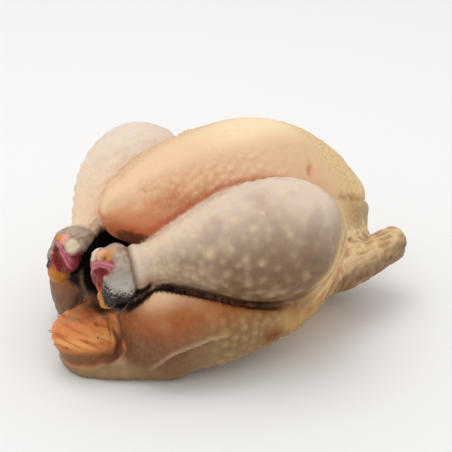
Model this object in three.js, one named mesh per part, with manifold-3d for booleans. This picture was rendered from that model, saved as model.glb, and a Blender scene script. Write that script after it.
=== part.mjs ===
// A whole raw chicken, plucked and drawn, lying on its back with its legs folded forward beside the breast.
// Millimetres. +X runs from the tail to the neck, +Z from the back up to the breast, +Y to the bird's right.
// The origin is on the plane that the back rests on, under the middle of the bird.
//
// The flesh is one field: each muscle or limb is a swept ellipsoid, and smooth unions join them under one skin.
// Marching cubes turn the field into a closed surface. The shank bones lie in sockets cut into the drumsticks.
import * as THREE from "three";
import { MarchingCubes } from "three/addons/objects/MarchingCubes.js";
import { SimplifyModifier } from "three/addons/modifiers/SimplifyModifier.js";
import { mergeVertices } from "three/addons/utils/BufferGeometryUtils.js";
import Module from "manifold-3d";

const wasm = await Module();
wasm.setup();

// ---- driving dimensions ----
const skinTriangles = 9800; // left on the flesh after simplifying
const gridStep = 2; // spacing of the marching cubes
const gridReach = 132; // half the side of the cube that the field is sampled in
const gridCentre = new THREE.Vector3(0, 0, 54);
const birdTop = 114; // nothing of the bird is higher
const weldReach = 1e-4; // corners closer than this are one

const middleX = -6.4; // X of the middle of the bird's length, in the stations' own frame
const legs = [
  { name: "left", side: -1, drop: 0 },
  { name: "right", side: 1, drop: 3 }, // this leg lies a little lower
];

// Each limb is a list of stations [x, y, z, half width along Y, half height along Z].
const torso = [
  [-66, 0, 83, 12, 12],
  [-57, 0, 79, 20, 18],
  [-42, 0, 74, 30, 28],
  [-20, 0, 68, 42, 38],
  [5, 0, 60, 51, 47],
  [28, 0, 54, 56, 52],
  [46, 0, 47, 55, 48],
  [60, 0, 45, 48, 38],
  [71, 0, 51, 41, 27],
  [78, 0, 57, 32, 17],
];
const rump = [
  [-58, 0, 25, 36, 26],
  [-40, 0, 29, 46, 31],
  [-10, 0, 30, 49, 33],
  [35, 0, 31, 49, 34],
];
const tail = [
  [-76, 0, 15, 23, 17],
  [-88, 0, 17, 19, 16],
  [-98, 0, 20, 15, 12],
  [-104, 0, 24, 9, 7],
];
const neckFlap = [
  [60, 0, 32, 38, 30], // the flap of neck skin folded under
  [74, 0, 32, 29, 19],
  [80, 0, 25, 23, 15],
];
const cavity = [
  [-108, 0, 46, 19, 13],
  [-84, 0, 47, 19, 15],
  [-62, 0, 48, 25, 20],
  [-20, 0, 46, 34, 28],
  [32, 0, 45, 34, 27],
  [48, 0, 43, 26, 21],
];

// One leg and one wing, for the bird's right side. The left side mirrors them.
const thigh = [
  [-62, 33, 29, 25, 27],
  [-46, 41, 30, 28, 26],
  [-28, 47, 30, 27, 21],
  [-10, 51, 32, 25, 18],
  [6, 53, 38, 23, 16],
  [16, 54, 46, 20, 15],
];
const drumstick = [
  [-88, 16, 58, 13, 14.5],
  [-80, 20, 59.5, 12.5, 13.5],
  [-71, 24.5, 62, 10, 10],
  [-62, 29.5, 63, 12, 12.5],
  [-50, 37, 65, 17.5, 18.5],
  [-37, 45, 66.5, 23, 25],
  [-24, 52, 68, 28, 30.5],
  [-11, 59, 69, 29.5, 32],
  [-4, 61, 71, 26, 28],
];
const backSkin = [
  [-97, 6, 5, 12, 6], // loose skin of the back, spread flat under the tail and the thigh
  [-84, 20, 6, 12, 7],
  [-68, 33, 8, 13, 8],
];
const slotZone = [
  [-96, 34, 46, 16, 14], // round the mouth of the slot between drumstick and thigh
  [-70, 52, 48, 18, 14],
  [-45, 68, 46, 20, 14],
  [-18, 80, 42, 20, 13],
  [3, 86, 42, 15, 10],
];
const kneeFold = [
  [13, 62, 87, 3, 3], // the fold of skin that runs round the knee and down to the flank
  [18, 70, 77, 4, 4],
  [16, 76, 64, 4.5, 4.5],
  [9, 77, 52, 5, 5],
  [-1, 75, 41, 6, 6],
  [-14, 69, 31, 7, 7],
];
const upperWing = [
  [62, 42, 40, 11, 10],
  [42, 52, 42, 11, 11],
  [20, 58, 38, 11, 10],
];
const foreWing = [
  [18, 59, 35, 10, 10],
  [42, 61, 34, 9, 10],
  [68, 59, 35, 9, 10],
  [83, 56, 35, 8, 9],
];
const shoulderGroove = [
  [90, 45, 45, 5, 5], // pressed in between the neck and the wing
  [76, 49, 49, 6, 6],
  [64, 57, 51, 6, 6],
  [52, 62, 52, 4, 4],
];
const wingTip = [
  [83, 54, 30, 8, 8],
  [74, 43, 24, 10, 10],
  [58, 36, 14, 9, 9],
];

// How far each join is rounded.
const bodyBlend = 22;
const flapBlend = 3;
const thighBlend = 10;
const foldBlend = 6;
const legBlend = 3;
const wingBlend = 5;
const mouthBlend = 5;
const cutBlend = 4;
const slotWidth = 3.6;

// The foot was cut off through the hock, so the end of the shank bone shows there.
const cutAway = new THREE.Vector3(-0.985, -0.15, 0.1); // faces out of the right leg's cut
const cutReach = 6; // from the first station of the drumstick out to the cut
const boneShows = 1.5; // how far the bone stands out of the cut
const boneGap = 0.4;
const boneSides = 20;
const boneKnee = new THREE.Vector3(-8, 59, 67); // the bone's other end, in the right leg
const boneProfile = [
  // share of the bone's length, radius
  [0, 0],
  [0, 4.2],
  [0.015, 6.6],
  [0.05, 7.6],
  [0.1, 6.6],
  [0.16, 4.6],
  [0.3, 3.8],
  [0.7, 4],
  [0.85, 5.6],
  [0.94, 8],
  [0.99, 6.4],
  [1, 3],
  [1, 0],
];

// ---- field tools ----
const smoothMin = (a, b, k) => Math.min(a, b) - Math.max(k - Math.abs(a - b), 0) ** 2 / (4 * k);
const smoothMax = (a, b, k) => -smoothMin(-a, -b, k);
const placed = ([x, y, z], { side, drop }) => new THREE.Vector3(x, y * side, z - drop);

// A swept ellipsoid through stations, as a function that gives a point's distance from its surface.
const spanSteps = 3;
function limb(stations, at = { side: 1, drop: 0 }) {
  const spine = new THREE.CatmullRomCurve3(stations.map((station) => placed(station, at)), false, "catmullrom");
  const sizes = stations.map(([, , , wide, tall]) => new THREE.Vector3(wide, tall, 0));
  const girth = new THREE.CatmullRomCurve3(sizes, false, "catmullrom");
  const steps = (stations.length - 1) * spanSteps;
  const spots = Array.from({ length: steps + 1 }, (_, i) => spine.getPoint(i / steps));
  const halves = Array.from({ length: steps + 1 }, (_, i) => girth.getPoint(i / steps));
  const middle = new THREE.Box3().setFromPoints(spots).getCenter(new THREE.Vector3());
  const reach = Math.max(...spots.map((spot, i) => spot.distanceTo(middle) + Math.max(halves[i].x, halves[i].y)));

  return (p) => {
    const clearance = p.distanceTo(middle) - reach;
    if (clearance > bodyBlend) return clearance; // too far off to shape the surface here
    let nearest = Infinity;
    for (let i = 0; i < steps; i++) {
      const a = spots[i];
      const b = spots[i + 1];
      const [ux, uy, uz] = [b.x - a.x, b.y - a.y, b.z - a.z];
      const along = ((p.x - a.x) * ux + (p.y - a.y) * uy + (p.z - a.z) * uz) / (ux * ux + uy * uy + uz * uz);
      const t = Math.min(1, Math.max(0, along));
      const wide = halves[i].x + (halves[i + 1].x - halves[i].x) * t;
      const tall = halves[i].y + (halves[i + 1].y - halves[i].y) * t;
      const long = Math.min(wide, tall);
      const qx = (p.x - a.x - ux * t) / long;
      const qy = (p.y - a.y - uy * t) / wide;
      const qz = (p.z - a.z - uz * t) / tall;
      const scaled = Math.hypot(qx, qy, qz);
      const slope = Math.hypot(qx / long, qy / wide, qz / tall);
      nearest = Math.min(nearest, slope > 0 ? (scaled * (scaled - 1)) / slope : -long);
    }
    return nearest;
  };
}

// ---- the bird ----
const cutNormal = ({ side }) => new THREE.Vector3(cutAway.x, cutAway.y * side, cutAway.z).normalize();
const cutCentre = (leg) => placed(drumstick[0], leg).addScaledVector(cutNormal(leg), cutReach);

function makeFlesh() {
  const [breast, back, tailEnd, neck, hollow] = [torso, rump, tail, neckFlap, cavity].map((part) => limb(part));
  const sides = legs.map((leg) => ({
    haunch: limb(thigh, leg),
    skirt: limb(backSkin, { side: leg.side, drop: 0 }),
    shank: limb(drumstick, leg),
    zone: limb(slotZone, leg),
    fold: limb(kneeFold, leg),
    groove: limb(shoulderGroove, { side: leg.side, drop: 0 }),
    wing: [upperWing, foreWing, wingTip].map((part) => limb(part, { side: leg.side, drop: 0 })),
    facing: cutNormal(leg),
    cut: cutCentre(leg),
  }));

  return (p) => {
    let body = smoothMin(breast(p), back(p), bodyBlend);
    body = smoothMin(body, neck(p), flapBlend);
    for (const { haunch } of sides) body = smoothMin(body, haunch(p), thighBlend);
    for (const { skirt } of sides) body = smoothMin(body, skirt(p), thighBlend);
    body = smoothMin(body, tailEnd(p), legBlend);
    for (const { shank, zone, fold, wing, groove, facing, cut } of sides) {
      const leg = shank(p);
      const slot = smoothMax(leg - slotWidth, zone(p), legBlend);
      const beyondCut = facing.dot(p) - facing.dot(cut);
      body = smoothMax(body, -slot, legBlend);
      body = smoothMin(body, smoothMax(leg, beyondCut, cutBlend), legBlend);
      body = smoothMin(body, fold(p), foldBlend);
      const arm = wing.reduce((sum, part) => smoothMin(sum, part(p), wingBlend), Infinity);
      body = smoothMin(body, arm, wingBlend);
      body = smoothMax(body, -groove(p), wingBlend);
    }
    body = smoothMax(body, -hollow(p), mouthBlend);
    return Math.max(body, -p.z);
  };
}

async function surfaceOf(field) {
  const cells = Math.round((2 * gridReach) / gridStep);
  const mostTriangles = 6 * cells * cells; // room for the surface, which crosses each layer of cells once or twice
  const cubes = new MarchingCubes(cells, undefined, false, false, mostTriangles);
  cubes.isolation = 0;
  const p = new THREE.Vector3();
  for (let k = 0; k < cells; k++)
    for (let j = 0; j < cells; j++)
      for (let i = 0; i < cells; i++) {
        p.set(i, j, k).subScalar(cells / 2).multiplyScalar(gridStep).add(gridCentre);
        const empty = p.z < -gridStep || p.z > birdTop;
        cubes.setCell(i, j, k, empty ? -gridStep : -field(p));
      }
  cubes.update();
  const corners = cubes.positionArray.slice(0, cubes.count * 3);
  const cubed = new THREE.BufferGeometry().setAttribute("position", new THREE.BufferAttribute(corners, 3));
  cubed.scale(gridReach, gridReach, gridReach).translate(...gridCentre);
  const skin = mergeVertices(cubed, gridStep / 1000);
  return new SimplifyModifier().modify(skin, skin.attributes.position.count - skinTriangles / 2);
}

// ---- the bones ----
function boneShape(length, grow) {
  const outline = boneProfile.map(([share, radius], i) => {
    const onAxis = i === 0 || i === boneProfile.length - 1;
    const end = share === 0 ? -grow : share === 1 ? grow : 0;
    return new THREE.Vector2(onAxis ? 0 : radius + grow, share * length + end);
  });
  return new THREE.LatheGeometry(outline, boneSides);
}

function bonePlace(leg) {
  const knee = placed(boneKnee.toArray(), leg);
  const centre = cutCentre(leg);
  const axis = knee.clone().sub(centre).normalize();
  const start = centre.addScaledVector(axis, -boneShows);
  return {
    start,
    turn: new THREE.Quaternion().setFromUnitVectors(new THREE.Vector3(0, 1, 0), axis),
    length: knee.distanceTo(start),
  };
}

// ---- solids ----
function toSolid(geometry) {
  const bare = geometry.clone();
  bare.deleteAttribute("normal");
  bare.deleteAttribute("uv");
  const merged = mergeVertices(bare, weldReach);
  return new wasm.Manifold(
    new wasm.Mesh({
      numProp: 3,
      vertProperties: new Float32Array(merged.attributes.position.array),
      triVerts: new Uint32Array(merged.index.array),
    }),
  );
}

function toGeometry(solid) {
  const { vertProperties, triVerts } = solid.getMesh();
  const geometry = new THREE.BufferGeometry();
  geometry.setAttribute("position", new THREE.BufferAttribute(vertProperties, 3));
  geometry.setIndex(new THREE.BufferAttribute(triVerts, 1));
  geometry.computeVertexNormals();
  return geometry;
}

const skinLook = new THREE.MeshStandardMaterial({ color: 0xe3c3a0, roughness: 0.55, metalness: 0 });
const boneLook = new THREE.MeshStandardMaterial({ color: 0xe8d9cf, roughness: 0.45, metalness: 0 });

const bird = new THREE.Group();
bird.position.x = -middleX;

let flesh = toSolid(await surfaceOf(makeFlesh()));
for (const leg of legs) {
  const { start, turn, length } = bonePlace(leg);
  const socket = boneShape(length, boneGap).applyQuaternion(turn).translate(...start);
  flesh = flesh.subtract(toSolid(socket));
  const bone = new THREE.Mesh(boneShape(length, 0), boneLook);
  bone.name = `shank_bone_${leg.name}`;
  bone.position.copy(start);
  bone.quaternion.copy(turn);
  bird.add(bone);
}
const chicken = new THREE.Mesh(toGeometry(flesh), skinLook);
chicken.name = "chicken";
bird.add(chicken);

const group = new THREE.Group();
group.add(bird);

export default group;
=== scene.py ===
"""A whole raw chicken, plucked and drawn, lying on its back on a pale floor.

The skin is one surface: the smooth form of the muscles, then folds, wrinkles and feather follicles raised
on it. The places that shape it also say where each of its colours lies, coat over coat.
Metres. +X runs from the tail to the neck, +Y to the bird's right, +Z from the back up to the breast.
"""
import math
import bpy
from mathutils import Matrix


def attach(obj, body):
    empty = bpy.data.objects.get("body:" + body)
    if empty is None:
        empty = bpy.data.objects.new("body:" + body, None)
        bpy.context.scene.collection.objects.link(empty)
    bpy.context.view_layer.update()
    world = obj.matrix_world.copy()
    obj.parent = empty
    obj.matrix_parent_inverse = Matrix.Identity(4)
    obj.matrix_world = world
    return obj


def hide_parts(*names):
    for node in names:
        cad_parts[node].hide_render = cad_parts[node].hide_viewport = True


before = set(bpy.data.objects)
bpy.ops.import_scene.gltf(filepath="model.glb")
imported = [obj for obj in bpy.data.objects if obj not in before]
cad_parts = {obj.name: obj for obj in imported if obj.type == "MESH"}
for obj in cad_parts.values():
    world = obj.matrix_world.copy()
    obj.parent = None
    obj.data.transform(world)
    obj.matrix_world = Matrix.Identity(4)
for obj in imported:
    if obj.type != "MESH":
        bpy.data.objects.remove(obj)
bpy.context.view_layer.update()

from types import SimpleNamespace

import bpy
import numpy as np
from mathutils import Vector, kdtree, noise

MM = 0.001
chance = np.random.default_rng(8)

# ---- the bird's form, in millimetres ----
MIDDLE_X = -6.4  # X of the middle of the bird's length, in the stations' own frame
SIDES = {"left": (-1, 0), "right": (1, 3)}  # side of the bird, and how much lower that leg lies

# Each limb is a list of stations: x, y, z, half width along Y, half height along Z.
TORSO = [
    (-66, 0, 83, 12, 12), (-57, 0, 79, 20, 18), (-42, 0, 74, 30, 28), (-20, 0, 68, 42, 38), (5, 0, 60, 51, 47),
    (28, 0, 54, 56, 52), (46, 0, 47, 55, 48), (60, 0, 45, 48, 38), (71, 0, 51, 41, 27), (78, 0, 57, 32, 17),
]
RUMP = [(-58, 0, 25, 36, 26), (-40, 0, 29, 46, 31), (-10, 0, 30, 49, 33), (35, 0, 31, 49, 34)]
TAIL = [(-76, 0, 15, 23, 17), (-88, 0, 17, 19, 16), (-98, 0, 20, 15, 12), (-104, 0, 24, 9, 7)]
NECK_FLAP = [(60, 0, 32, 38, 30), (74, 0, 32, 29, 19), (80, 0, 25, 23, 15)]
CAVITY = [
    (-108, 0, 46, 19, 13), (-84, 0, 47, 19, 15), (-62, 0, 48, 25, 20), (-20, 0, 46, 34, 28),
    (32, 0, 45, 34, 27), (48, 0, 43, 26, 21),
]
THIGH = [
    (-62, 33, 29, 25, 27), (-46, 41, 30, 28, 26), (-28, 47, 30, 27, 21), (-10, 51, 32, 25, 18),
    (6, 53, 38, 23, 16), (16, 54, 46, 20, 15),
]
DRUMSTICK = [
    (-88, 16, 58, 13, 14.5), (-80, 20, 59.5, 12.5, 13.5), (-71, 24.5, 62, 10, 10), (-62, 29.5, 63, 12, 12.5),
    (-50, 37, 65, 17.5, 18.5), (-37, 45, 66.5, 23, 25), (-24, 52, 68, 28, 30.5), (-11, 59, 69, 29.5, 32),
    (-4, 61, 71, 26, 28),
]
BACK_SKIN = [(-97, 6, 5, 12, 6), (-84, 20, 6, 12, 7), (-68, 33, 8, 13, 8)]
SLOT_ZONE = [
    (-96, 34, 46, 16, 14), (-70, 52, 48, 18, 14), (-45, 68, 46, 20, 14), (-18, 80, 42, 20, 13),
    (3, 86, 42, 15, 10),
]
KNEE_FOLD = [
    (13, 62, 87, 3, 3), (18, 70, 77, 4, 4), (16, 76, 64, 4.5, 4.5), (9, 77, 52, 5, 5), (-1, 75, 41, 6, 6),
    (-14, 69, 31, 7, 7),
]
UPPER_WING = [(62, 42, 40, 11, 10), (42, 52, 42, 11, 11), (20, 58, 38, 11, 10)]
FORE_WING = [(18, 59, 35, 10, 10), (42, 61, 34, 9, 10), (68, 59, 35, 9, 10), (83, 56, 35, 8, 9)]
SHOULDER_GROOVE = [(90, 45, 45, 5, 5), (76, 49, 49, 6, 6), (64, 57, 51, 6, 6), (52, 62, 52, 4, 4)]
WING_TIP = [(83, 54, 30, 8, 8), (74, 43, 24, 10, 10), (58, 36, 14, 9, 9)]

BODY_BLEND, FLAP_BLEND, THIGH_BLEND, FOLD_BLEND, LEG_BLEND = 22, 3, 10, 6, 3
WING_BLEND, MOUTH_BLEND, CUT_BLEND, SLOT_WIDTH = 5, 5, 4, 3.6
CUT_AWAY = (-0.985, -0.15, 0.1)  # faces out of the right leg's cut
CUT_REACH = 6  # from the first station of the drumstick out to the cut
SPAN_STEPS = 3


def smooth_min(a, b, k):
    return np.minimum(a, b) - np.maximum(k - np.abs(a - b), 0) ** 2 / (4 * k)


def smooth_max(a, b, k):
    return -smooth_min(-a, -b, k)


def fade(distance, full, none):
    """1 where the distance is at most full, falling smoothly to 0 at none."""
    share = np.clip((none - distance) / (none - full), 0, 1)
    return share * share * (3 - 2 * share)


def rise(value, low, high):
    """0 up to low, rising smoothly to 1 at high."""
    return 1 - fade(value, low, high)


def curve_through(knots, steps=SPAN_STEPS):
    """Points on the Catmull-Rom curve through the knots."""
    knots = np.asarray(knots, float)
    ends = np.vstack([2 * knots[0] - knots[1], knots, 2 * knots[-1] - knots[-2]])
    t = np.linspace(0, 1, steps, endpoint=False)[:, None]
    spans = []
    for before, a, b, after in zip(ends, ends[1:], ends[2:], ends[3:]):
        leave, arrive = (b - before) / 2, (after - a) / 2
        bend = 3 * (b - a) - 2 * leave - arrive
        ease = 2 * (a - b) + leave + arrive
        spans.append(a + leave * t + bend * t**2 + ease * t**3)
    return np.vstack([*spans, knots[-1:]])


class Limb:
    """A swept ellipsoid through stations: the distance from its surface, and places along and round it."""

    def __init__(self, stations, side=1, drop=0):
        rows = np.array(stations, float)
        rows[:, 1] *= side
        rows[:, 2] -= drop
        line = curve_through(rows)
        self.spots, self.halves, self.side = line[:, :3], line[:, 3:], side
        self.middle = (self.spots.min(0) + self.spots.max(0)) / 2
        self.reach = (np.linalg.norm(self.spots - self.middle, axis=1) + self.halves.max(1)).max()
        run = self.spots[-1] - self.spots[0]
        self.axis = run / np.linalg.norm(run)
        self.marks = (self.spots - self.spots[0]) @ self.axis

    def __call__(self, points):
        """Distance from the surface. Far off, it is the distance from a ball round the limb instead."""
        nearest = np.linalg.norm(points - self.middle, axis=1) - self.reach
        close = nearest <= BODY_BLEND
        near = points[close]
        best = np.full(len(near), np.inf)
        for a, b, half_a, half_b in zip(self.spots, self.spots[1:], self.halves, self.halves[1:]):
            run = b - a
            t = np.clip((near - a) @ run / (run @ run), 0, 1)
            off_x, off_y, off_z = (near - a - t[:, None] * run).T
            wide = half_a[0] + (half_b[0] - half_a[0]) * t
            tall = half_a[1] + (half_b[1] - half_a[1]) * t
            long = np.minimum(wide, tall)
            x, y, z = off_x / long, off_y / wide, off_z / tall
            scaled = np.sqrt(x * x + y * y + z * z)
            slope = np.sqrt((x / long) ** 2 + (y / wide) ** 2 + (z / tall) ** 2) + 1e-9
            best = np.minimum(best, scaled * (scaled - 1) / slope)
        nearest[close] = best
        return nearest

    def section(self, along):
        """Middle and half sizes of the limb at distances along its straight axis."""
        columns = np.column_stack([self.spots, self.halves]).T
        return np.column_stack([np.interp(along, self.marks, column) for column in columns])

    def place_of(self, points):
        """Millimetres along the straight axis, and the angle round it from the top to the outer side."""
        along = (points - self.spots[0]) @ self.axis
        off = points - self.section(along)[:, :3]
        return along, np.arctan2(off[:, 1] * self.side, off[:, 2])


def leg_cut(side, drop):
    """Middle of the cut through the hock, the way it faces, and its ways outward and upward."""
    facing = np.array([CUT_AWAY[0], CUT_AWAY[1] * side, CUT_AWAY[2]])
    facing /= np.linalg.norm(facing)
    outward = side * np.cross(facing, (0, 0, 1))
    outward /= np.linalg.norm(outward)
    x, y, z = DRUMSTICK[0][:3]
    centre = np.array([x, y * side, z - drop]) + facing * CUT_REACH
    return centre, facing, outward, -side * np.cross(facing, outward)


torso, rump, tail, neck_flap, cavity = (Limb(rows) for rows in (TORSO, RUMP, TAIL, NECK_FLAP, CAVITY))
legs = {
    name: {
        "side": side,
        "thigh": Limb(THIGH, side, drop),
        "skirt": Limb(BACK_SKIN, side),
        "drumstick": Limb(DRUMSTICK, side, drop),
        "slot": Limb(SLOT_ZONE, side, drop),
        "fold": Limb(KNEE_FOLD, side, drop),
        "wing": [Limb(rows, side) for rows in (UPPER_WING, FORE_WING, WING_TIP)],
        "groove": Limb(SHOULDER_GROOVE, side),
        "cut": leg_cut(side, drop),
    }
    for name, (side, drop) in SIDES.items()
}


def wing_distance(leg, points):
    arm = leg["wing"][0](points)
    for part in leg["wing"][1:]:
        arm = smooth_min(arm, part(points), WING_BLEND)
    return arm


def bird(points):
    """Distance from the bird's surface, negative inside the flesh."""
    body = smooth_min(torso(points), rump(points), BODY_BLEND)
    body = smooth_min(body, neck_flap(points), FLAP_BLEND)
    for leg in legs.values():
        body = smooth_min(body, leg["thigh"](points), THIGH_BLEND)
        body = smooth_min(body, leg["skirt"](points), THIGH_BLEND)
    body = smooth_min(body, tail(points), LEG_BLEND)
    for leg in legs.values():
        shank = leg["drumstick"](points)
        slot = smooth_max(shank - SLOT_WIDTH, leg["slot"](points), LEG_BLEND)
        centre, facing = leg["cut"][:2]
        beyond_cut = (points - centre) @ facing
        body = smooth_max(body, -slot, LEG_BLEND)
        body = smooth_min(body, smooth_max(shank, beyond_cut, CUT_BLEND), LEG_BLEND)
        body = smooth_min(body, leg["fold"](points), FOLD_BLEND)
        body = smooth_min(body, wing_distance(leg, points), WING_BLEND)
        body = smooth_max(body, -leg["groove"](points), WING_BLEND)
    body = smooth_max(body, -cavity(points), MOUTH_BLEND)
    return np.maximum(body, -points[:, 2])


# ---- meshes ----
MERGE_WITHIN = 1e-6  # metres


def read_points(obj, kind="co"):
    values = np.zeros(len(obj.data.vertices) * 3)
    obj.data.vertices.foreach_get(kind, values)
    return values.reshape(-1, 3)


def stations_frame(obj):
    """The points of an object in millimetres, in the stations' own frame."""
    return read_points(obj) / MM + (MIDDLE_X, 0, 0)


def place_points(obj, points):
    obj.data.vertices.foreach_set("co", ((points - (MIDDLE_X, 0, 0)) * MM).ravel())
    obj.data.update()


def only(*objects):
    bpy.ops.object.select_all(action="DESELECT")
    for obj in objects:
        obj.select_set(True)
    bpy.context.view_layer.objects.active = objects[0]


def copy_of(node, name):
    """A merged copy of a node of the frame, as a mesh of its own."""
    obj = bpy.data.objects.new(name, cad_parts[node].data.copy())
    bpy.context.scene.collection.objects.link(obj)
    obj.data.materials.clear()
    only(obj)
    bpy.ops.mesh.customdata_custom_splitnormals_clear()
    bpy.ops.object.mode_set(mode="EDIT")
    bpy.ops.mesh.select_all(action="SELECT")
    bpy.ops.mesh.remove_doubles(threshold=MERGE_WITHIN)
    bpy.ops.object.mode_set(mode="OBJECT")
    return obj


def remesh(obj, grain):
    only(obj)
    even = obj.modifiers.new("even grain", "REMESH")
    even.mode = "VOXEL"
    even.voxel_size = grain * MM
    bpy.ops.object.modifier_apply(modifier=even.name)


def set_mark(obj, name, values):
    mark = obj.data.attributes.new(name, "FLOAT", "POINT")
    mark.data.foreach_set("value", np.asarray(values, np.float32))


def set_colours(obj, paint):
    colours = obj.data.attributes.new("flesh", "FLOAT_COLOR", "POINT")
    colours.data.foreach_set("color", paint.colour.astype(np.float32).ravel())


def edges_of(obj):
    """The pairs of points that the edges of an object join."""
    pairs = np.zeros(len(obj.data.edges) * 2, int)
    obj.data.edges.foreach_get("vertices", pairs)
    return pairs.reshape(-1, 2)


def relaxed(points, edges):
    """Each point moved half way towards the middle of its neighbours."""
    total = np.zeros_like(points)
    count = np.zeros(len(points))
    for here, there in (edges.T, edges.T[::-1]):
        for axis in range(3):
            total[:, axis] += np.bincount(here, points[there, axis], len(points))
        count += np.bincount(here, minlength=len(points))
    return points + 0.5 * (total / count[:, None] - points)


SKIN_GRAIN = 1.5  # spacing of the skin's points
FINE_HOCK, FINE_TAIL = -70, -72  # the skin is twice as fine on the hocks and the tail, past these X
BONE_COVER = 1.2  # the bones are grown by this before the skin closes over their sockets
LEG_REACH, TAIL_REACH, CAVITY_CLEAR = 2, 4, 4  # the finer skin's points lie this near, or this clear
SETTLE_PASSES, MOST_SETTLE, MOST_TRIM = 3, 3, 1  # rounds, and how far one moves a point onto the form
SLOPE_STEP = 0.2


def make_finer(obj, chosen):
    """Splits the faces round the chosen points in four."""
    only(obj)
    for parts in (obj.data.polygons, obj.data.edges):
        parts.foreach_set("select", np.zeros(len(parts), bool))
    obj.data.vertices.foreach_set("select", chosen)
    bpy.ops.object.mode_set(mode="EDIT")
    bpy.ops.mesh.select_mode(type="VERT")
    bpy.ops.mesh.subdivide(number_cuts=1)
    bpy.ops.object.mode_set(mode="OBJECT")


def smooth_skin():
    """One even closed surface over the flesh, with the bone sockets filled, laid on the smooth form."""
    skin = copy_of("chicken", "skin")
    plugs = [copy_of(f"shank_bone_{name}", "plug") for name in SIDES]
    for plug in plugs:
        place_points(plug, stations_frame(plug) + BONE_COVER * read_points(plug, "normal"))
    only(skin, *plugs)
    bpy.ops.object.join()
    remesh(skin, SKIN_GRAIN)
    points = stations_frame(skin)
    on_leg = np.minimum(*(leg["drumstick"](points) for leg in legs.values())) < LEG_REACH
    on_hock = on_leg & (points[:, 0] < FINE_HOCK)
    on_tail = (tail(points) < TAIL_REACH) & (points[:, 0] < FINE_TAIL)
    make_finer(skin, (cavity(points) > CAVITY_CLEAR) & (on_hock | on_tail))
    edges = edges_of(skin)
    for _ in range(SETTLE_PASSES):
        points = relaxed(stations_frame(skin), edges)
        place_points(skin, points)
        off = np.clip(bird(points), -MOST_SETTLE, MOST_SETTLE)
        points -= read_points(skin, "normal") * off[:, None]
        place_points(skin, points)
    here = bird(points)
    out = np.column_stack([bird(points + SLOPE_STEP * axis) - here for axis in np.eye(3)])
    out /= np.linalg.norm(out, axis=1, keepdims=True) + 1e-9
    return skin, points - out * np.clip(here, -MOST_TRIM, MOST_TRIM)[:, None], out


# ---- colours ----
def tint(red, green, blue):
    """A colour given as it looks, from 0 to 255, as the light that it sends back."""
    shares = (red / 255, green / 255, blue / 255)
    return (*(s / 12.92 if s <= 0.04045 else ((s + 0.055) / 1.055) ** 2.4 for s in shares), 1.0)


PEACH, CREAM, NECK_CREAM = tint(236, 197, 156), tint(246, 222, 178), tint(236, 202, 146)
EMBER_AND_SHADE, BLUSH, RUST_AND_SHADE = tint(188, 104, 42), tint(222, 146, 104), tint(116, 40, 10)
BREAST_SHADE, NAPE_SHADE_GREY, GRANULE_GOLD = tint(180, 144, 104), tint(170, 134, 84), tint(172, 126, 62)
THIGH_RUST_AND_SHADE, LOW_SHADE_BROWN = tint(156, 82, 22), tint(106, 70, 44)
FLANK_OLIVE_AND_SHADE, FLANK_PALE = tint(130, 102, 66), tint(176, 154, 122)
LILAC, PLUM, SHANK_PINK = tint(222, 200, 180), tint(176, 146, 140), tint(190, 142, 108)
LEG_SHADE, LEG_UNDER_SHADE, FAR_PINK = tint(104, 77, 46), tint(120, 82, 48), tint(232, 214, 198)
PALE_FAT, BAND_FAT, SHADE_TAN = tint(232, 210, 164), tint(196, 156, 94), tint(150, 120, 80)
TAIL_ORANGE, TAIL_GOLD, TAIL_GREY = tint(216, 130, 66), tint(232, 170, 100), tint(124, 76, 40)
WING_GOLD = tint(232, 196, 144)
COLLAR_GREY, COLLAR_TAN = tint(152, 140, 130), tint(160, 122, 92)
COLLAR_PALE, COLLAR_WHITE = tint(190, 182, 170), tint(206, 206, 198)
FAT_ORANGE, RAW_ORANGE, RAW_RED = tint(206, 134, 56), tint(184, 76, 32), tint(120, 34, 26)
BLOOD, CARTILAGE, CARTILAGE_PALE = tint(112, 8, 16), tint(164, 66, 82), tint(220, 156, 166)
CUT_PINK, CUT_CREAM = tint(224, 164, 142), tint(214, 202, 174)
STAIN, CREASE_SHADE_BROWN, DEEP_SHADE_BROWN = tint(122, 60, 0), tint(96, 42, 18), tint(22, 7, 3)
VENT_SHADE_BROWN, PIGMENT, QUILL_BROWN = tint(54, 24, 10), tint(24, 20, 19), tint(70, 58, 48)


class Paint:
    """Colour laid on points in thin coats."""

    def __init__(self, points, ground):
        self.points = points
        self.colour = np.tile(ground, (len(points), 1))

    def coat(self, colour, share):
        self.colour += np.clip(share, 0, 1)[:, None] * (np.array(colour) - self.colour)

    def spot(self, colour, place, radius, share):
        self.coat(colour, share * np.exp(-(np.linalg.norm(self.points - place, axis=1) / radius) ** 2))


# ---- relief ----
SEED_STRIDE = 13.7  # sets the noise of one seed well apart from that of the next
BUMP_SIZES = 0.7, 1.2
BUMP_SNAP, BUMP_LEAST = 6, 0.05  # a seed further from the skin, or with less than this share, makes no bump
ROW_SQUEEZE = 0.87  # from row to row of follicles, against the gap within a row
ROW_SWAY, ROW_STRAY = 0.18, 0.2  # how far a follicle lies off its place, in gaps along the row and across it
LANDING_PASSES = 3  # rounds that bring the follicles onto the limb
LINE_STEPS, LINE_REACH = 6, 4  # points to a span of a line, and how many widths off it still counts


def lumps(places, size, seed):
    """Smooth noise from about -1 to 1, with lumps of this size, or of this size along each axis."""
    scaled = places / np.array(size, float) + seed * SEED_STRIDE
    return np.array([noise.noise(Vector(spot)) for spot in scaled])


def bell(distance, width):
    return np.exp(-((distance / width) ** 2))


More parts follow.
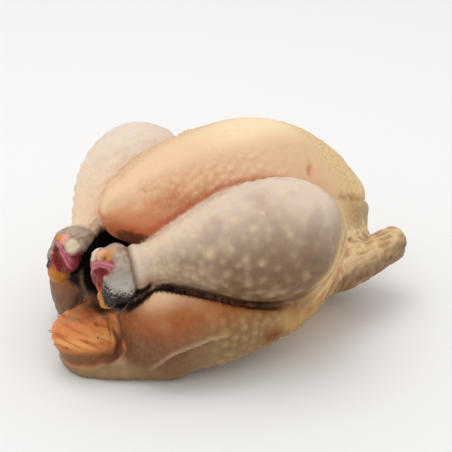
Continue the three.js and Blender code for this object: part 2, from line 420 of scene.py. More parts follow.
class Surface:
    """The skin's points while they are shaped, how far each rises, and how much it is a follicle."""

    def __init__(self, points, out):
        self.points, self.out = points, out
        self.lift = np.zeros(len(points))
        self.pimple = np.zeros(len(points))
        self.tree = kdtree.KDTree(len(points))
        for index, spot in enumerate(points):
            self.tree.insert(spot, index)
        self.tree.balance()

    def bumps(self, seeds, width, height, where):
        """Raises a round bump on the skin at each seed. Where says how much of it each point gets."""
        tops = np.zeros(len(self.points))
        for seed in seeds:
            spot, index, distance = self.tree.find(seed)
            if distance > BUMP_SNAP or where[index] < BUMP_LEAST:
                continue
            size = chance.uniform(*BUMP_SIZES)
            for _, near, off in self.tree.find_range(spot, 2 * width * size):
                tops[near] = max(tops[near], size * math.exp(-((off / (width * size)) ** 2)))
        self.lift += height * tops * where
        self.pimple = np.maximum(self.pimple, tops * where)

    def line(self, knots, width, height, side):
        """Raises or sinks a soft line on the skin through the knots. Gives its strength, 1 on the line."""
        path = curve_through(np.array(knots, float) * (1, side, 1), LINE_STEPS)
        path = np.array([self.tree.find(spot)[0] for spot in path])
        path[1:-1] = (path[:-2] + 2 * path[1:-1] + path[2:]) / 4
        reach = np.ptp(path, axis=0).max() + LINE_REACH * width
        close = np.linalg.norm(self.points - path.mean(0), axis=1) < reach
        spots = self.points[close]
        best = np.full(len(spots), np.inf)
        share = np.zeros(len(spots))
        for index, (a, b) in enumerate(zip(path, path[1:])):
            t = np.clip((spots - a) @ (b - a) / ((b - a) @ (b - a) + 1e-9), 0, 1)
            distance = np.linalg.norm(spots - a - t[:, None] * (b - a), axis=1)
            closer = distance < best
            best[closer] = distance[closer]
            share[closer] = ((index + t) / (len(path) - 1))[closer]
        strength = np.zeros(len(self.points))
        strength[close] = bell(best, width) * np.sin(np.pi * np.clip(share, 0.02, 0.98)) ** 0.5
        self.lift += height * strength
        return strength


def follicle_rows(limb, columns, start, end):
    """Seeds on a limb's surface in staggered rows round it, about as far apart along it as round it."""
    step = 2 * math.pi / columns
    along, row, seeds = start, 0, []
    while along < end:
        x, y, z, wide, tall = limb.section(along)[0]
        gap = step * (wide + tall) / 2
        for column in range(columns):
            turn = (column + 0.5 * (row % 2) + chance.uniform(-ROW_SWAY, ROW_SWAY)) * step
            stray = chance.uniform(-ROW_STRAY, ROW_STRAY) * gap
            spot = np.array([x, y + math.sin(turn) * wide * limb.side, z + math.cos(turn) * tall])
            seeds.append(spot + limb.axis * stray)
        along += ROW_SQUEEZE * gap
        row += 1
    seeds = np.array(seeds)
    ways = seeds - limb.section((seeds - limb.spots[0]) @ limb.axis)[:, :3]
    ways /= np.linalg.norm(ways, axis=1, keepdims=True)
    for _ in range(LANDING_PASSES):
        seeds -= limb(seeds)[:, None] * ways
    return seeds


# Lines on the skin, for the bird's right side: x is toward the neck, y outward, z up.
TAIL_PARTING = [(-82.5, 14, 36), (-83.2, 16.2, 31.9), (-84.7, 20.2, 24.1), (-87.3, 19.5, 12.9), (-92, 16, 6)]
HIP_FOLD = [(-84, 36, 6), (-82, 42, 12), (-78, 51.4, 23), (-68, 60, 29.3), (-61, 64, 31.8), (-52, 67, 33)]
BREAST_CREASE = [(38.5, 29.1, 97.1), (34, 36, 93), (30, 40, 90), (27.2, 42.9, 87.5)]
NECK_CREASE = [
    (42, 51, 74), (46.4, 49.9, 72.3), (54.2, 48.9, 69.1), (63.7, 46.4, 65.4), (78.7, 39.6, 57.4), (86, 30, 52),
]
WING_FOLD = [(14, 74, 36), (24.7, 70.5, 39.3), (32, 69, 37), (36, 70, 30)]
KNEE_BANDS = [  # ridges of loose skin that run over the knee and down to the flank, from the outer one in
    [
        (18, 70, 82), (19, 76.5, 74), (14.5, 81.2, 65.3), (8.5, 82.4, 57.3), (4.6, 82.2, 51.1), (-1, 81, 44),
        (-12, 77, 35),
    ],
    [
        (16, 70, 86), (17.4, 77.2, 76), (10.8, 82.4, 68.1), (5.4, 84.3, 60.6), (0, 82.8, 53), (-4.8, 81.1, 46),
        (-15, 77, 38),
    ],
    [(12, 72, 88), (13, 79.5, 78), (6.5, 85, 68.1), (1, 86, 60), (-5, 84, 52.5), (-11.5, 81.6, 47)],
]
NECK_GATHERS = [  # folds that draw the skin of the neck together on the front
    [(80, 10, 88), (92, 9, 68), (98, 5, 48), (96, 1, 30)],
    [(76, 27, 80), (90, 21, 62), (96, 12, 44), (96, 3, 26)],
    [(78, 38, 62), (88, 30, 50), (94, 18, 36), (95, 6, 20)],
]
GROOVE_ALONG, GROOVE_WIDTH, GROOVE_DEPTH = 12.4, 1.5, 1.5  # behind the hock, from the leg's first station

# ---- the face of the cut through the hock, in millimetres outward and upward of its middle ----
CUT_LUMPS = [  # outward, upward, radius, height, colour
    (-5.5, 10.5, 4.0, 0.9, CUT_CREAM),
    (0.5, 12.5, 3.2, 0.7, CUT_PINK),
    (4.5, 13.0, 3.0, 0.5, FAT_ORANGE),
    (8.0, 4.0, 1.5, 0.5, CUT_PINK),
    (3.6, -4.5, 3.6, -0.3, RAW_ORANGE),
    (5.5, -9.0, 4.8, 0.5, FAT_ORANGE),
]
RIM = [(9.5, 8.8), (6.5, 9.4), (2, 8.4), (-3, 5.2), (-6, 0), (-7, -6)]  # cartilage round the furrow
FURROW = [(10, 7.5), (6, 6), (2.8, 3.4), (0.7, -1), (0.5, -5)]
RIM_WIDTH, RIM_HEIGHT, FURROW_WIDTH, FURROW_DEPTH = 1.9, 1.1, 2.4, 1.6
CUT_TILT = 0.17  # how much further the face stands out for each millimetre down from the rim
CUT_TOP, CUT_DEEPEST = 7, 19  # the tilt starts this far up, and goes on this far down
RAW_EDGE, RAW_EDGE_BLUR = 7.4, 0.8  # how far outward the collar of skin begins


def off_path(knots, flat):
    """Distances of places on the face of the cut from a line through the knots."""
    nearest = np.full(len(flat), np.inf)
    for a, b in zip(np.array(knots, float), np.array(knots[1:], float)):
        t = np.clip((flat - a) @ (b - a) / ((b - a) @ (b - a)), 0, 1)
        nearest = np.minimum(nearest, np.linalg.norm(flat - a - t[:, None] * (b - a), axis=1))
    return nearest


def cut_rise(flat):
    """How far the raw face of the cut stands out at these places on it."""
    lift = CUT_TILT * np.clip(CUT_TOP - flat[:, 1], 0, CUT_DEEPEST)
    lift += RIM_HEIGHT * bell(off_path(RIM, flat), RIM_WIDTH)
    lift -= FURROW_DEPTH * bell(off_path(FURROW, flat), FURROW_WIDTH)
    for outward, upward, radius, height, _ in CUT_LUMPS:
        lift += height * bell(np.linalg.norm(flat - (outward, upward), axis=1), radius)
    return lift


def paint_cut(paint, flat, end):
    """The raw colours of the cut, where end is 1."""
    for outward, upward, radius, _, colour in CUT_LUMPS:
        paint.coat(colour, end * rise(bell(np.linalg.norm(flat - (outward, upward), axis=1), radius), 0.2, 0.7))
    off_rim = off_path(RIM, flat)
    paint.coat(BLOOD, end * rise(bell(off_path(FURROW, flat), FURROW_WIDTH), 0.2, 0.6))
    paint.coat(CARTILAGE, end * rise(bell(off_rim, RIM_WIDTH), 0.25, 0.6))
    paint.coat(CARTILAGE_PALE, end * rise(bell(off_rim - 0.9, 0.9), 0.5, 1.0) * 0.5)


def raw_part(flat):
    """1 on the raw part of the face of the cut, 0 where the collar of skin has closed over it."""
    outward, upward = flat.T
    edge = RAW_EDGE + np.where(upward > 0, 0.3 * upward, np.minimum(-0.2 * upward, 1.2))
    return fade(outward - edge, -RAW_EDGE_BLUR, RAW_EDGE_BLUR)


# ---- the parts of the skin and their relief ----
CREASE_REACH, HOLLOW_REACH = 3, 10  # how far out from the skin other flesh still makes a crease or a hollow


def find_places(points, out):
    """Where each point lies on the bird: which limbs it is on, from 0 to 1, and how far along and round them.

    low runs down the drumstick from -1 on top to 1 underneath; crease and hollow tell how close other flesh is.
    """
    x, y, z = points.T
    at = SimpleNamespace(x=x, y=y, z=z, near=y < 0, far=y > 0)
    at.inside = fade(np.abs(cavity(points)), 1, 3)
    at.torso_turn = np.abs(torso.place_of(points)[1])
    legs_at = {}
    for leg in legs.values():
        centre, facing, outward, upward = leg["cut"]
        off = points - centre
        along, turn = leg["drumstick"].place_of(points)
        _, _, height, _, tall = leg["drumstick"].section(along).T
        found = {
            "leg_off": leg["drumstick"](points), "leg_along": along, "leg_turn": turn,
            "low": (height - z) / tall, "thigh_off": leg["thigh"](points), "fold_off": leg["fold"](points),
            "wing_off": wing_distance(leg, points),
            "cut_off": off @ facing, "cut_out": off @ outward, "cut_up": off @ upward,
        }
        mine = y * leg["side"] > 0
        legs_at = {key: np.where(mine, value, legs_at.get(key, 0)) for key, value in found.items()}
    vars(at).update(legs_at)

    at.leg = fade(at.leg_off, 0.6, 2.6) * (1 - at.inside)
    off_leg = 1 - at.leg
    at.knob = at.leg * fade(at.leg_along, 11, 14)
    at.cut = at.leg * rise(at.cut_off, -3.2, -1.2)
    at.tail = fade(tail(points), 0.8, 4) * off_leg * (1 - at.inside)
    at.band = fade(at.fold_off, 0.5, 4) * off_leg
    at.wing = fade(at.wing_off, 1, 5) * off_leg * (1 - at.band)
    at.neck = rise(x, 38, 58) * off_leg * (1 - at.wing)
    at.thigh = fade(at.thigh_off, 2, 9) * off_leg * (1 - at.tail) * (1 - at.inside)
    at.breast = fade(torso(points), 1, 6) * off_leg * (1 - at.inside)
    at.crease = 1 - np.clip(bird(points + CREASE_REACH * out) / CREASE_REACH, 0, 1)
    at.hollow = 1 - np.clip(bird(points + HOLLOW_REACH * out) / HOLLOW_REACH, 0, 1)
    at.plain = 1 - np.clip(at.crease * 1.5, 0, 1)
    return at


def shape_legs(surface, at):
    """Follicles on the drumsticks, and sinews on the shanks."""
    shank = at.leg * rise(at.leg_along, GROOVE_ALONG, GROOVE_ALONG + 5)
    for leg in legs.values():
        mine = at.y * leg["side"] > 0
        where = shank * mine * at.plain * rise(at.leg_along, 16, 24) * fade(at.leg_along, 82, 100)
        surface.bumps(follicle_rows(leg["drumstick"], 22, 18, 98), 1.9, 0.85, where)
    round_leg = np.column_stack([at.leg_along / 16, at.leg_turn * 4.5, np.zeros(len(at.x))])
    sinews = 1 - 2 * np.abs(lumps(round_leg, 1, 4))
    surface.lift += 0.45 * sinews * shank * fade(at.leg_along, 26, 46)


def shape_hocks(surface, at):
    """The collar of skin round each hock, the groove behind it and the face of its cut."""
    at.folds = lumps(surface.points, (3.6, 2.2, 2.2), 5)
    at.groove = at.leg * bell(at.leg_along - GROOVE_ALONG, GROOVE_WIDTH)
    surface.lift += at.knob * (1.2 * bell(at.leg_along - 7, 4.5) + 0.6 * at.folds)
    surface.lift -= GROOVE_DEPTH * at.groove
    face = at.leg * rise(at.cut_off, -5 - fade(at.cut_up, -8, 0) * 3, -2)
    surface.lift += face * cut_rise(np.column_stack([at.cut_out, at.cut_up]))
    surface.lift += 0.5 * at.cut * lumps(surface.points, 2.4, 6)


def shape_tail(surface, at):
    """Slanting ridges on the tail, and its parting from the thighs."""
    slanted = np.column_stack([0.55 * at.x + 0.83 * at.z, 0.83 * at.x - 0.55 * at.z, at.y])
    at.across = lumps(slanted, (1.9, 13, 13), 7)
    surface.lift += 1.1 * at.tail * at.across * rise(at.z, 12, 20)
    surface.lift += 0.5 * at.tail * lumps(surface.points, 6, 8)
    at.parting = np.maximum(*(surface.line(TAIL_PARTING, 1.5, -1.6, side) for side in (-1, 1)))


def shape_thighs(surface, at):
    """Follicles and fine creases on the thighs, and the fold of skin over the hip."""
    for leg in legs.values():
        mine = at.y * leg["side"] > 0
        where = at.thigh * mine * at.plain * rise(at.x, -72, -50) * fade(at.z, 36, 48)
        surface.bumps(follicle_rows(leg["thigh"], 29, 4, 84), 1.7, 1.3, where)
    under_fold = [(x, y, z - 1.8) for x, y, z in HIP_FOLD]
    at.hip_fold = np.maximum(*(surface.line(HIP_FOLD, 1.1, 1.0, side) for side in (-1, 1)))
    at.hip_shade = np.maximum(*(surface.line(under_fold, 1.0, -0.6, side) for side in (-1, 1)))
    ridges = np.column_stack([at.x - at.z, at.x / 5 + np.abs(at.y) / 3 + at.z / 5, at.y / 9])
    surface.lift += 0.35 * lumps(ridges, (2.2, 4, 1), 9) * at.thigh


def shape_breast(surface, at):
    """Follicles on the sides of the breast, its creases, and the gathered skin of the neck."""
    band = rise(at.torso_turn, 0.3, 0.6) * fade(at.torso_turn, 1.25, 1.6)
    where = at.breast * at.plain * band * fade(at.x, -6, 30)
    surface.bumps(follicle_rows(torso, 50, 0, 100), 1.9, 1.6, where)
    at.breast_crease = surface.line(BREAST_CREASE, 1.4, -1.2, -1)
    at.neck_crease = np.maximum(*(surface.line(NECK_CREASE, 2.0, -1.8, side) for side in (-1, 1)))
    gathers = [surface.line(knots, 2.0, -2.2, side) for side in (-1, 1) for knots in NECK_GATHERS]
    at.gathers = np.maximum.reduce(gathers)
    flap = at.neck * bell(at.z + 0.35 * at.x - 80, 5) * rise(at.x, 38, 50)
    surface.lift += 0.3 * flap * (1 + lumps(surface.points, 5, 14))


def shape_knees(surface, at):
    """Ridges of loose skin over the knees, and the wrinkles of the wings."""
    at.ridge, at.knee = np.zeros(len(at.x)), np.zeros(len(at.x))
    for side in (-1, 1):
        for knots in KNEE_BANDS:
            at.ridge = np.maximum(at.ridge, surface.line(knots, 0.9, 1.0, side))
            at.knee = np.maximum(at.knee, surface.line(knots, 3.4, 0.3, side))
        surface.line(WING_FOLD, 1.4, 0.9, side)
    at.wrinkles = 1 - 2 * np.abs(lumps(surface.points, (13, 3.4, 3.4), 10))
    surface.lift += 1.2 * at.wing * at.wrinkles


# ---- the colours of the skin ----
def paint_breast(paint, at):
    """Cream along the keel, painted shade on the sides, ember and rust down to the vent (partly the skin's own
    tone, partly painted shade), blush toward the neck.
    """
    paint.coat(CREAM, at.breast * fade(at.torso_turn, 0.1, 0.6) * rise(at.x, -25, 15) * 0.85)
    paint.coat(BREAST_SHADE, at.breast * rise(at.torso_turn, 0.15, 0.6) * 0.32)
    # ember and rust darken the breast toward the vent: partly the skin's own tone, partly painted shade
    paint.coat(EMBER_AND_SHADE, at.breast * rise(at.lower, 0.2, 1.15) * fade(at.x, -64, 12) * (0.95 + 0.3 * at.patch))
    paint.coat(RUST_AND_SHADE, at.breast * rise(at.lower, 0.8, 1.25) * rise(at.x, -64, -48) * fade(at.x, 0, 25) * 0.85)
    paint.coat(BLUSH, at.breast * rise(at.torso_turn, 0.7, 1.3) * fade(at.x, 20, 50) * 0.6)
    paint.coat(NECK_CREAM, at.neck)
    # ember in the crease by the breast's tip: painted shade
    paint.coat(EMBER_AND_SHADE, at.breast_crease * rise(94 - at.z, 0, 4) * 0.8)


def paint_thighs(paint, at):
    """Rust over brown and olive, partly the skin's own tone and partly painted shade that darkens the thighs
    lower down; painted shade under the hip fold and along the back, next to the floor.
    """
    paint.coat(PEACH, at.thigh)
    # rust below the top of the thigh: partly the skin's own tone, partly painted shade
    paint.coat(THIGH_RUST_AND_SHADE, at.thigh * fade(at.z - 0.3 * (at.x + 76), 42, 54) * (1.0 + 0.2 * at.patch))
    # brown low on the thigh: painted shade
    paint.coat(LOW_SHADE_BROWN, at.thigh * fade(at.z, 24, 42) * 0.86)
    # olive low on the back of the thigh: partly the skin's own tone, partly painted shade
    paint.coat(FLANK_OLIVE_AND_SHADE, at.thigh * rise(at.x, -78, -58) * fade(at.z, 30, 48) * 0.9)
    paint.coat(FLANK_PALE, at.thigh * fade(at.z, 4, 26) * rise(at.x, -74, -52) * 0.4)
    paint.coat(PALE_FAT, at.hip_fold * 0.4)
    # brown under the hip fold: painted shade
    paint.coat(CREASE_SHADE_BROWN, at.hip_shade * 0.5)
    # tan along the back, next to the floor: painted shade
    paint.coat(SHADE_TAN, fade(at.z, 1, 9) * (1 - at.leg) * 0.55)
    # olive low beside the tail: painted shade
    paint.coat(FLANK_OLIVE_AND_SHADE, fade(at.x, -82, -70) * fade(at.z, 9, 15) * (1 - at.tail) * 0.9)


def paint_tail(paint, at):
    """Orange with raw streaks between the ridges, gold across the middle, grey below, and ember along the
    bottom as painted shade.
    """
    paint.coat(TAIL_ORANGE, at.tail)
    paint.coat(RAW_ORANGE, at.tail * bell(at.z - 25, 6) * rise(-at.across, 0.0, 0.35) * 0.7)
    paint.coat(TAIL_GOLD, at.tail * bell(at.z - 22.5, 4) * rise(at.across, -0.3, 0.2) * 0.8)
    paint.coat(TAIL_GREY, at.tail * fade(at.z, 14, 21))
    # ember along the bottom of the tail, next to the floor: painted shade
    paint.coat(EMBER_AND_SHADE, at.tail * fade(at.z, 4, 10) * 0.4)


def paint_wings(paint, at):
    """Gold skin with pale wrinkles, with painted shade in the wrinkles' valleys and underneath."""
    below_wing = rise(at.x, -25, 5) * fade(at.z, 22, 40) * (1 - at.leg)
    paint.coat(BAND_FAT, below_wing * 0.6)
    paint.coat(WING_GOLD, at.wing)
    paint.coat(BLUSH, at.wing * rise(at.fine, 0.1, 0.4) * 0.4)
    # brown on the underside of the wing: painted shade
    paint.coat(LOW_SHADE_BROWN, at.wing * fade(at.z, 35, 45) * (0.9 + 0.3 * at.fine))
    # tan in the valleys of the wrinkles: painted shade
    paint.coat(SHADE_TAN, at.wing * fade(at.wrinkles, 0.0, 0.6) * 0.7)
    paint.coat(PALE_FAT, at.wing * rise(at.wrinkles, 0.5, 0.9) * rise(at.z, 34, 45) * 0.6)


def paint_legs(paint, at):
    """Lilac skin, paler on the far leg, shaded underneath, with fat in the loose skin of the knee."""
    paint.coat(LILAC, at.leg)
    paint.coat(FAR_PINK, at.leg * at.far * 0.7)
    paint.coat(PEACH, at.leg * at.far * fade(at.leg_along, 30, 75) * 0.6)
    paint.coat(PLUM, at.leg * rise(at.patch, 0.0, 0.5) * rise(at.leg_along, 22, 40) * (0.15 + 0.2 * at.near))
    paint.coat(SHANK_PINK, at.leg * fade(at.leg_along, 18, 34) * rise(at.low, -0.3, 0.5) * 0.8)
    shaded = np.sqrt(rise(at.low - 0.3 * rise(at.leg_along, 80, 115), -1.05, 0.35)) * rise(at.leg_along, 8, 36)
    shaded *= 1 - 0.3 * fade(at.leg_along, 45, 60) * rise(at.low, -0.4, 0.1)
    paint.coat(LEG_SHADE, at.leg * at.near * shaded * 0.93)
    paint.coat(PALE_FAT, at.leg * rise(at.mottle, 0.1, 0.5) * rise(at.leg_along, 14, 30) * 0.25)
    # darker on the underside of the near leg: painted shade
    paint.coat(LEG_UNDER_SHADE, at.leg * at.near * rise(at.low, -0.7, -0.1) * rise(at.leg_along, 16, 40) * 0.3)
    loose = np.maximum(at.knee, at.band * fade(at.z, 60, 80))
    paint.coat(BAND_FAT, loose * 0.78)
    paint.coat(RAW_ORANGE, loose * (1 - at.ridge) * rise(at.fine, -0.1, 0.4) * fade(at.z, 60, 76) * 0.5)
    paint.coat(PALE_FAT, at.ridge * 0.75)


def paint_follicles(paint, at):
    """The tops of the follicles, paler than the skin round them."""
    paint.coat(PALE_FAT, at.pimple * at.leg * (0.36 - 0.16 * rise(at.low, -0.4, 0.5) + 0.25 * at.mottle))
    paint.coat(PEACH, at.pimple * at.breast * (1 - at.leg) * (0.6 - 0.4 * rise(at.lower, 0.85, 1.15)))
    paint.coat(BAND_FAT, at.pimple * at.thigh * 0.5)


def paint_creases(paint, at):
    """Painted shade: brown where flesh lies close to flesh, orange in the hollows by the breast, ember in the
    creases and folds of the neck, grey under its crease.
    """
    off_both = (1 - at.leg) * (1 - at.breast)
    # brown in creases and hollows, and along the tail's parting: painted shade
    paint.coat(CREASE_SHADE_BROWN, rise(at.crease, 0.5, 1.0) * 0.85)
    # orange on the breast where other flesh lies near: painted shade
    paint.coat(RAW_ORANGE, rise(at.hollow, 0.15, 0.6) * at.breast * fade(at.x, 20, 50) * 0.6)
    paint.coat(CREASE_SHADE_BROWN, rise(at.hollow, 0.75, 0.97) * at.breast * (1 - at.leg) * 0.9)
    paint.coat(CREASE_SHADE_BROWN, rise(at.hollow, 0.45, 0.75) * fade(at.x, -70, -55) * off_both)
    paint.coat(CREASE_SHADE_BROWN, at.parting)
    # ember in the neck's crease and folds: painted shade
    paint.coat(EMBER_AND_SHADE, at.neck_crease * rise(at.fine, -0.4, 0.2) * 0.75)
    paint.coat(EMBER_AND_SHADE, at.gathers * 0.45)
    # grey under the neck's crease, where the fold overhangs: painted shade
    paint.coat(NAPE_SHADE_GREY, at.neck * fade(at.z + 0.45 * at.x, 88, 98) * 0.85)


def paint_hocks(paint, at):
    """The grey collars and the raw cuts. Finds the raw flesh, and how dark the collars are: pigment, with
    painted shade on their undersides.
    """
    tan = np.maximum(rise(-at.folds, 0.0, 0.4) * 0.4, fade(at.low, -0.9, -0.3) * 0.5)
    paint.coat(COLLAR_GREY, at.knob)
    paint.coat(COLLAR_PALE, at.knob * fade(at.low, -0.9, -0.3) * rise(at.folds, -0.3, 0.1))
    paint.coat(COLLAR_TAN, at.knob * tan)
    # pigment in the folds of the collar's lower half: partly the skin's own pigment, partly painted shade
    paint.coat(PIGMENT, at.knob * rise(-at.folds, 0.15, 0.5) * rise(at.low, -0.5, 0.0) * 0.5)
    paint.coat(COLLAR_WHITE, at.knob * bell(at.low - 0.1, 0.4) * rise(at.leg_along, -3, 3) * 0.5)
    # brown in the groove behind the hock: painted shade
    paint.coat(CREASE_SHADE_BROWN, at.groove * 0.6)
    flat = np.column_stack([at.cut_out, at.cut_up])
    low_end = fade(at.cut_up, -9, -3)
    on_face = rise(at.cut_off, -5 - 4 * low_end, -3 - 2 * low_end)
    at.raw = fade(at.leg_off, 0.6, 2.6) * on_face * raw_part(flat)
    # dark on the lower half of each collar: pigment, and painted shade underneath
    at.dark = at.knob * rise(at.low - 0.045 * at.leg_along + 0.3 * at.patch, -0.25, 0.5) * (1 - at.raw)
    paint.coat(RAW_RED, at.raw)
    paint_cut(paint, flat, at.raw)


def paint_hollows(paint, at):
    """The lip of the vent. Finds how deep in the cavity or in a slot beside a leg each point lies, where the
    skin is laid near-black as painted shade.
    """
    tail_end = fade(at.x, -70, -58)
    under_leg = at.leg * rise(at.low, 0.4, 0.8) * rise(at.hollow + 0.1 * tail_end, 0.85, 1.0)
    under_leg *= 0.2 + 0.8 * tail_end
    beside_leg = rise(at.hollow + 0.05 * tail_end, 0.76, 1.0) * (1 - at.leg) * (1 - at.breast)
    open_end = np.where(at.near, fade(at.x, -70, -26), 1.0)
    lip = at.inside * fade(at.z, 31.5, 35) * fade(at.x, -84, -76)
    at.deep = np.maximum(np.maximum(beside_leg, under_leg) * open_end, at.inside * (1 - at.raw)) * (1 - lip)
    paint.coat(TAIL_ORANGE, lip)
    paint.coat(RAW_ORANGE, lip * rise(-at.across, 0.0, 0.35) * 0.8)
    # dark brown on the lip's inner part, into the vent: painted shade
    paint.coat(VENT_SHADE_BROWN, lip * rise(at.x, -95, -83))


SPOTS = [  # colour, place, radius, share
    # dark brown between the tail and the far thigh: painted shade
    (VENT_SHADE_BROWN, (-84, 17, 30), 6, 0.9),
    (FAT_ORANGE, (-88, -19, 72.5), 2.6, 0.8),
    (PIGMENT, (-92, -20, 70.5), 1.2, 0.9),
    (BAND_FAT, (-22, -74, 31), 7, 0.6),
    (STAIN, (-30, -73, 25), 4.6, 1.0),
    (STAIN, (-26, -73, 25), 4.6, 1.0),
    (PIGMENT, (-13.5, -89.5, 68.3), 2.2, 0.5),
    (RAW_RED, (63, -54, 44), 2.8, 0.9),
    # brown by the right end of the slot beside the leg: painted shade
    (LOW_SHADE_BROWN, (-12, -76, 41), 9, 0.5),
]


def paint_skin(surface, at):
    """The colours of the skin, coat over coat."""
    paint = Paint(surface.points, PEACH)
    at.pimple = surface.pimple
    at.patch, at.fine, at.mottle = (lumps(surface.points, *kind) for kind in ((11, 3), (4, 12), (6, 21)))
    at.lower = at.torso_turn - 0.65 * fade(at.x, -72, -58)
    for part in (
        paint_breast, paint_thighs, paint_tail, paint_wings, paint_legs, paint_follicles, paint_creases,
        paint_hocks, paint_hollows,
    ):
        part(paint, at)
    for colour, place, radius, share in SPOTS:
        paint.spot(colour, place, radius, share)
    return paint


def shape_skin():
    """The skin with its relief and its colours, and the surface it was shaped on."""
    skin, points, out = smooth_skin()
    surface = Surface(points, out)
    at = find_places(points, out)
    for shape in (shape_legs, shape_hocks, shape_tail, shape_thighs, shape_breast, shape_knees):
        shape(surface, at)
    surface.lift += 0.3 * lumps(points, 14, 1) + 0.2 * lumps(points, 5, 2)

    shaped = points + out * surface.lift[:, None]
    shaped[:, 2] = np.maximum(shaped[:, 2], 0)
    place_points(skin, shaped)
    set_colours(skin, paint_skin(surface, at))
    # black specks on the hocks, denser underneath: pigment, and painted shade there
    set_mark(skin, "speckled", at.dark)
    # near-black in the slots beside the legs and inside the cavity: painted shade
    set_mark(skin, "deep", at.deep)
    set_mark(skin, "goosebumps", at.neck * (1 - at.wing) + 0.5 * at.wing)
    return skin, surface, at


# ---- the bones' ends and the stubs of feathers ----
BONE_GRAIN = 0.8
BONE_SUNK = 0.6


def make_bone(name):
    """The end of a shank bone as the cut left it, with a rim of cartilage over a raw furrow."""
    centre, facing, outward, upward = legs[name]["cut"]
    bone = copy_of(f"shank_bone_{name}", f"bone_end_{name}")
    remesh(bone, BONE_GRAIN)
    points = relaxed(stations_frame(bone), edges_of(bone))
    off = points - centre
    flat = np.column_stack([off @ outward, off @ upward])
    end = rise(off @ facing, -3, -0.5)
    points += facing * (end * (cut_rise(flat) + 0.3 * lumps(points, 2, 11) - BONE_SUNK))[:, None]
    place_points(bone, points)
    paint = Paint(points, CARTILAGE)
    paint.coat(RAW_RED, end)
    paint_cut(paint, flat, end)
    set_colours(bone, paint)
    return bone


STUBS, STUB_SIDES = 110, 5
STUB_RADII, STUB_LENGTHS = (0.2, 0.4), (1.0, 2.0)
STUB_LEAN, STUB_OUT = 0.45, 0.4
STUBS_ON_TAIL = 0.04  # how likely a stub is on the tail beside one on a dark hock


def make_stubs(surface, at):
    """Black stubs of pin feathers that the plucking left on the hocks and the tail."""
    on_tail = at.tail * rise(at.z, 12, 20) * rise(-at.x, 84, 90) * STUBS_ON_TAIL
    likely = at.dark * (1 - at.cut) * rise(at.leg_along, -5, -2) + on_tail
    picks = chance.choice(len(likely), STUBS, replace=False, p=likely / likely.sum())
    stubs = []
    for pick in picks:
        lean = Vector(surface.out[pick]) + Vector(chance.normal(0, STUB_LEAN, 3))
        radius, length = (chance.uniform(*sizes) * MM for sizes in (STUB_RADII, STUB_LENGTHS))
        place = surface.points[pick] + surface.out[pick] * (surface.lift[pick] + STUB_OUT) - (MIDDLE_X, 0, 0)
        bpy.ops.mesh.primitive_cone_add(
            vertices=STUB_SIDES, radius1=radius, radius2=radius * 0.3, depth=length,
            location=place * MM, rotation=lean.to_track_quat("Z", "Y").to_euler(),
        )
        stubs.append(bpy.context.object)
    only(*stubs)
    bpy.ops.object.join()
    bpy.ops.object.transform_apply(location=True, rotation=True, scale=True)
    stubs[0].name = "pin_feather_stubs"
    return stubs[0]


# ---- materials ----
class Value:
    """A number that a material works out. Sums and products of values add their Math nodes."""

    def __init__(self, look, socket):
        self.look, self.socket = look, socket

    def _math(self, operation, first, second):
        return self.look.node("Math", {0: first, 1: second}, operation=operation)

    def __add__(self, other):
        return self._math("ADD", self, other)

    def __sub__(self, other):
        return self._math("SUBTRACT", self, other)

    def __rsub__(self, other):
        return self._math("SUBTRACT", other, self)

    def __mul__(self, other):
        return self._math("MULTIPLY", self, other)

    __radd__ = __add__
    __rmul__ = __mul__


class Look:
    """A material with one shader, and short ways to add the nodes in front of it."""

    def __init__(self, name, **settings):
        self.material = bpy.data.materials.new(name)
        self.material.use_nodes = True
        self.tree = self.material.node_tree
        self.shader = self.tree.nodes["Principled BSDF"]
        self.set(self.shader, {key.replace("_", " "): value for key, value in settings.items()})

    def set(self, node, sockets):
        for key, value in sockets.items():
            if isinstance(value, Value):
                self.tree.links.new(value.socket, node.inputs[key])
            else:
                node.inputs[key].default_value = value

    def node(self, kind, sockets=None, output=0, **settings):
        """Adds a node of this type: its settings first, then the values or links of its sockets."""
        node = self.tree.nodes.new("ShaderNode" + kind)
        for name, value in settings.items():
            setattr(node, name, value)
        self.set(node, sockets or {})
        return Value(self, node.outputs[output])

    def place(self):
        return self.node("TexCoord", output="Object")

    def mark(self, name):
        return self.node("Attribute", output="Fac", attribute_name=name)

    def step(self, value, low, high):
        """0 where the value is below low, 1 above high, smooth between."""
        sockets = {"Value": value, "From Min": low, "From Max": high}
        return self.node("MapRange", sockets, interpolation_type="SMOOTHSTEP")

    def mix(self, share, a, b):
        return self.node("Mix", {0: share, 6: a, 7: b}, output=2, data_type="RGBA")

    def grain(self, size, detail=2.0):
        """Noise with lumps about this many millimetres across."""
        sockets = {"Vector": self.place(), "Scale": 1 / (size * MM), "Detail": detail}
        return self.node("TexNoise", sockets, output="Fac")

    def on(self, obj):
        obj.data.materials.clear()
        obj.data.materials.append(self.material)


GRANULE = 2.3  # millimetres from one granule of the goose-fleshed skin to the next


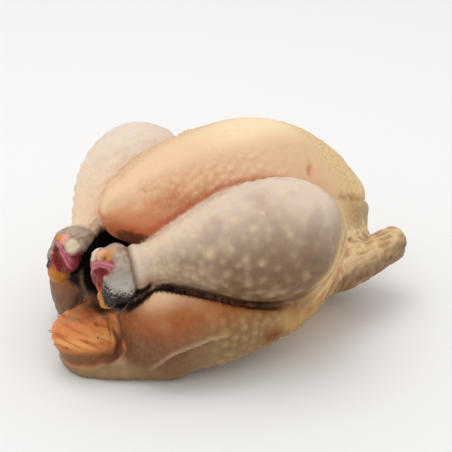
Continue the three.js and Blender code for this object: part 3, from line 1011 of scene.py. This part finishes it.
def skin_look():
    """Moist skin: the painted colours, gold granules on the neck and wings, black specks on the hocks, partly
    painted shade on their undersides, and near-black painted shade in the slots and the cavity.
    """
    look = Look(
        "moist plucked skin", Specular_IOR_Level=0.28, Subsurface_Weight=0.15, Subsurface_Scale=0.004,
        Subsurface_Radius=(1.0, 0.45, 0.25),
    )
    flesh = look.node("Attribute", output="Color", attribute_name="flesh")
    blotches = look.step(look.grain(3.2, 3), 0.35, 0.7)
    colour = look.mix(blotches * 0.05, flesh, PALE_FAT)
    freckles = look.step(look.grain(5, 3), 0.5, 0.72)
    colour = look.mix(freckles * 0.06, colour, BLUSH)
    granules = look.node("TexVoronoi", {"Vector": look.place(), "Scale": 1 / (GRANULE * MM)}, output="Distance")
    goosebumps = look.mark("goosebumps")
    colour = look.mix(look.step(granules, 0.15, 0.75) * goosebumps * 0.4, colour, GRANULE_GOLD)
    speckled = look.mark("speckled")
    specks = look.step(look.grain(1.0, 3) + speckled * 0.36, 0.58, 0.78)
    colour = look.mix(specks * look.step(speckled, 0.02, 0.3) * 0.93, colour, PIGMENT)
    # near-black in the slots and inside the cavity: painted shade
    colour = look.mix(look.mark("deep"), colour, DEEP_SHADE_BROWN)
    relief = look.grain(1.1, 3) * 0.35 + look.grain(3.5, 3) * 0.5 - granules * goosebumps
    look.set(look.shader, {
        "Base Color": colour,
        "Roughness": look.grain(6) * 0.3 + 0.3 + look.mark("deep") * 0.5,
        "Normal": look.node("Bump", {"Height": relief, "Strength": 0.8, "Distance": 0.0012}),
    })
    return look


def bone_look():
    look = Look(
        "wet cartilage", Specular_IOR_Level=0.22, Subsurface_Weight=0.1, Subsurface_Scale=0.002, Roughness=0.36,
    )
    flesh = look.node("Attribute", output="Color", attribute_name="flesh")
    streaks = look.step(look.grain(1.6, 3), 0.45, 0.75)
    look.set(look.shader, {"Base Color": look.mix(streaks * 0.08, flesh, CUT_PINK)})
    return look


def stub_look():
    look = Look("feather quill", Roughness=0.5)
    look.set(look.shader, {"Base Color": look.mix(look.grain(2), PIGMENT, QUILL_BROWN)})
    return look


# ---- studio ----
VIEW_TURN, VIEW_RISE = math.radians(-42), math.radians(25.5)
VIEW_TARGET = Vector((12.4, 0, 50)) * MM
VIEW_DISTANCE = 650 * MM
LENS, SENSOR, NEAREST = 92, 36, 0.01
FLOOR_SIZE = 6
LAMP_PLACE, LAMP_SIZE, LAMP_POWER = Vector((-0.12, 0.16, 1.2)), 0.9, 3.4
LAMP_AIM = Vector((0, 0, 0.05))
AIR_STRENGTH = 0.88


def add_camera():
    level = math.cos(VIEW_RISE)
    back = Vector((math.sin(VIEW_TURN) * level, -math.cos(VIEW_TURN) * level, math.sin(VIEW_RISE)))
    data = bpy.data.cameras.new("camera")
    data.lens, data.sensor_width, data.clip_start = LENS, SENSOR, NEAREST
    camera = bpy.data.objects.new("camera", data)
    camera.location = VIEW_TARGET + back * VIEW_DISTANCE
    camera.rotation_euler = back.to_track_quat("Z", "Y").to_euler()
    bpy.context.scene.collection.objects.link(camera)
    bpy.context.scene.camera = camera


def add_softbox():
    data = bpy.data.lights.new("overhead", "AREA")
    data.shape, data.size, data.energy = "DISK", LAMP_SIZE, LAMP_POWER
    light = bpy.data.objects.new("overhead", data)
    light.location = LAMP_PLACE
    light.rotation_euler = (LAMP_PLACE - LAMP_AIM).to_track_quat("Z", "Y").to_euler()
    bpy.context.scene.collection.objects.link(light)


def add_studio():
    bpy.ops.object.select_all(action="DESELECT")
    bpy.ops.mesh.primitive_plane_add(size=FLOOR_SIZE)
    floor = bpy.context.object
    floor.name = "floor"
    Look("pale paper", Base_Color=tint(242, 241, 239), Roughness=0.9).on(floor)
    add_softbox()
    world = bpy.data.worlds.new("studio air")
    world.use_nodes = True
    air = world.node_tree.nodes["Background"]
    air.inputs["Color"].default_value = (1, 1, 1, 1)
    air.inputs["Strength"].default_value = AIR_STRENGTH
    bpy.context.scene.world = world
    bpy.context.scene.view_settings.view_transform = "Standard"


skin, surface, at = shape_skin()
skin_look().on(skin)
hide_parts("chicken")

cartilage = bone_look()
bones = [make_bone(name) for name in SIDES]
for name, bone in zip(SIDES, bones):
    cartilage.on(bone)
    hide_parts(f"shank_bone_{name}")

stubs = make_stubs(surface, at)
stub_look().on(stubs)
for piece in (skin, *bones, stubs):
    only(piece)
    bpy.ops.object.shade_smooth()
    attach(piece, "root")
add_studio()
add_camera()
